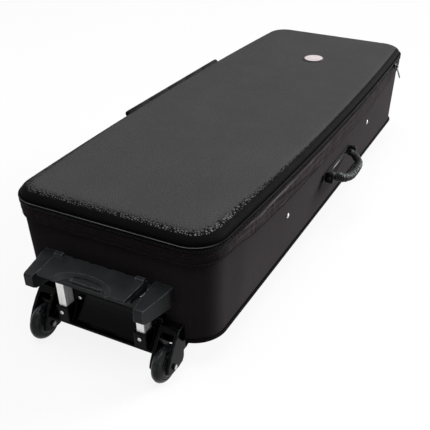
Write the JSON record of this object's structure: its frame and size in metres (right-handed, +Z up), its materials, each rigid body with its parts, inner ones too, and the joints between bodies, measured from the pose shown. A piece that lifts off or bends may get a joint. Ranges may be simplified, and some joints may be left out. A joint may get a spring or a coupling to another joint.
{
  "type": "wheeled drum hardware case",
  "caption": "Long zipped trolley case with a padded hinged lid, pull-up handle, end wheels, rear feet, side carry handle and a lined tray for drum stands.",
  "frame": {"origin": "middle of the tray's flat underside", "axes": "+Z up, +X towards the side with the carry handle, -Y towards the end with the wheels and the pull-up handle"},
  "size_m": [0.4433, 1.135, 0.2572],
  "materials": {
    "case_fabric": "woven cover over board, matte",
    "lid_skin": "pebbled skin over a moulded shell, satin",
    "trim_rubber": "smooth extruded bead and binding",
    "zip_cloth": "woven tape",
    "zip_teeth": "moulded teeth",
    "black_plastic": "fine grained, satin",
    "gloss_plastic": "smooth, glossy",
    "rail_metal": "brushed and anodised",
    "bright_steel": "plated, bright",
    "dark_steel": "dark plated, satin",
    "handle_rubber": "ribbed, matte",
    "wheel_rubber": "smooth solid tyre, matte",
    "hub_plastic": "moulded, satin",
    "padding": "soft lining cloth over foam",
    "strap_web": "woven webbing",
    "floor_wood": "thin hardboard",
    "badge_paint": "pale, satin, blank"
  },
  "bodies": {
    "case": {"tray_shell": "case_fabric", "zip_tape_lower": "zip_cloth", "zip_chain_lower": "zip_teeth", "bottom_binding": "trim_rubber", "floor_board": "floor_wood", "floor_pad": "padding", "tie_strap_near": "strap_web", "tie_strap_far": "strap_web", "hinge_leaf_lower": "black_plastic", "hinge_pin": "dark_steel", "wheel_carriage": "gloss_plastic", "trolley_dock": "black_plastic", "handle_plate": "dark_steel", "rail_outer_left": "rail_metal", "foot_screw_left": "bright_steel", "plate_screw_left": "bright_steel", "axle_bolt_left": "bright_steel", "rear_foot_left": "handle_rubber", "rail_outer_right": "rail_metal", "foot_screw_right": "bright_steel", "plate_screw_right": "bright_steel", "axle_bolt_right": "bright_steel", "rear_foot_right": "handle_rubber", "handle_bracket_near": "black_plastic", "handle_pin_near": "dark_steel", "strap_rivet_left_near": "bright_steel", "strap_rivet_right_near": "bright_steel", "handle_bracket_far": "black_plastic", "handle_pin_far": "dark_steel", "strap_rivet_left_far": "bright_steel", "strap_rivet_right_far": "bright_steel"},
    "lid": {"lid_shell": "lid_skin", "lid_bead": "trim_rubber", "lid_lining": "padding", "lid_badge": "badge_paint", "zip_tape_upper": "zip_cloth", "zip_chain_upper": "zip_teeth", "hinge_leaf_upper": "black_plastic"},
    "rail_middle": {"rail_middle_left": "rail_metal", "rail_middle_right": "rail_metal"},
    "grip": {"rail_inner_left": "rail_metal", "rail_inner_right": "rail_metal", "grip_base": "black_plastic", "grip_top": "black_plastic", "button_spring": "bright_steel"},
    "release": {"release_button": "black_plastic", "release_yoke": "hub_plastic", "lock_rod_left": "bright_steel", "lock_rod_right": "bright_steel"},
    "lock_pin_left": {"lock_pin_left": "bright_steel"},
    "lock_pin_right": {"lock_pin_right": "bright_steel"},
    "wheel_left": {"wheel_tyre_left": "wheel_rubber", "wheel_hub_left": "hub_plastic"},
    "wheel_right": {"wheel_tyre_right": "wheel_rubber", "wheel_hub_right": "hub_plastic"},
    "carry_handle": {"carry_handle": "handle_rubber"},
    "zip_slider": {"zip_slider": "dark_steel"},
    "zip_puller": {"zip_puller": "dark_steel"}
  },
  "joints": [
    {"name": "lid_hinge", "type": "hinge", "parent": "case", "child": "lid", "pos_m": [-0.2041, 0.027, 0.188], "axis": [0, -1, 0], "range_deg": [0, 105]},
    {"name": "middle_stage_slide", "type": "slide", "parent": "case", "child": "rail_middle", "axis": [0, 0, 1], "range_m": [0, 0.062]},
    {"name": "inner_stage_slide", "type": "slide", "parent": "rail_middle", "child": "grip", "axis": [0, 0, 1], "range_m": [0, 0.062]},
    {"name": "release_press", "type": "slide", "parent": "grip", "child": "release", "axis": [0, 0, -1], "range_m": [0, 0.0025], "stiffness_N_per_m": 800, "springref_m": -0.003, "deforming": ["button_spring"]},
    {"name": "lock_pin_left_slide", "type": "slide", "parent": "grip", "child": "lock_pin_left", "axis": [1, 0, 0], "range_m": [0, 0.002]},
    {"name": "lock_pin_right_slide", "type": "slide", "parent": "grip", "child": "lock_pin_right", "axis": [-1, 0, 0], "range_m": [0, 0.002]},
    {"name": "wheel_left_spin", "type": "hinge", "parent": "case", "child": "wheel_left", "pos_m": [-0.117, -0.5664, -0.014], "axis": [1, 0, 0], "continuous": true},
    {"name": "wheel_right_spin", "type": "hinge", "parent": "case", "child": "wheel_right", "pos_m": [0.117, -0.5664, -0.014], "axis": [1, 0, 0], "continuous": true},
    {"name": "carry_handle_swing", "type": "hinge", "parent": "case", "child": "carry_handle", "pos_m": [0.19608, 0.018, 0.08985], "axis": [0, 1, 0], "range_deg": [-60, 55]},
    {"name": "zip_slider_run", "type": "slide", "parent": "case", "child": "zip_slider", "axis": [0.0339, -0.9994, 0], "range_m": [0, 0.15]},
    {"name": "zip_puller_swing", "type": "hinge", "parent": "zip_slider", "child": "zip_puller", "pos_m": [0.19531, 0.41524, 0.1812], "axis": [0.0339, -0.9994, 0], "range_deg": [-32, 128]}
  ],
  "couplings": [
    {"joint": "lock_pin_left_slide", "follows": "release_press", "ratio": 0.8},
    {"joint": "lock_pin_right_slide", "follows": "release_press", "ratio": 0.8}
  ]
}
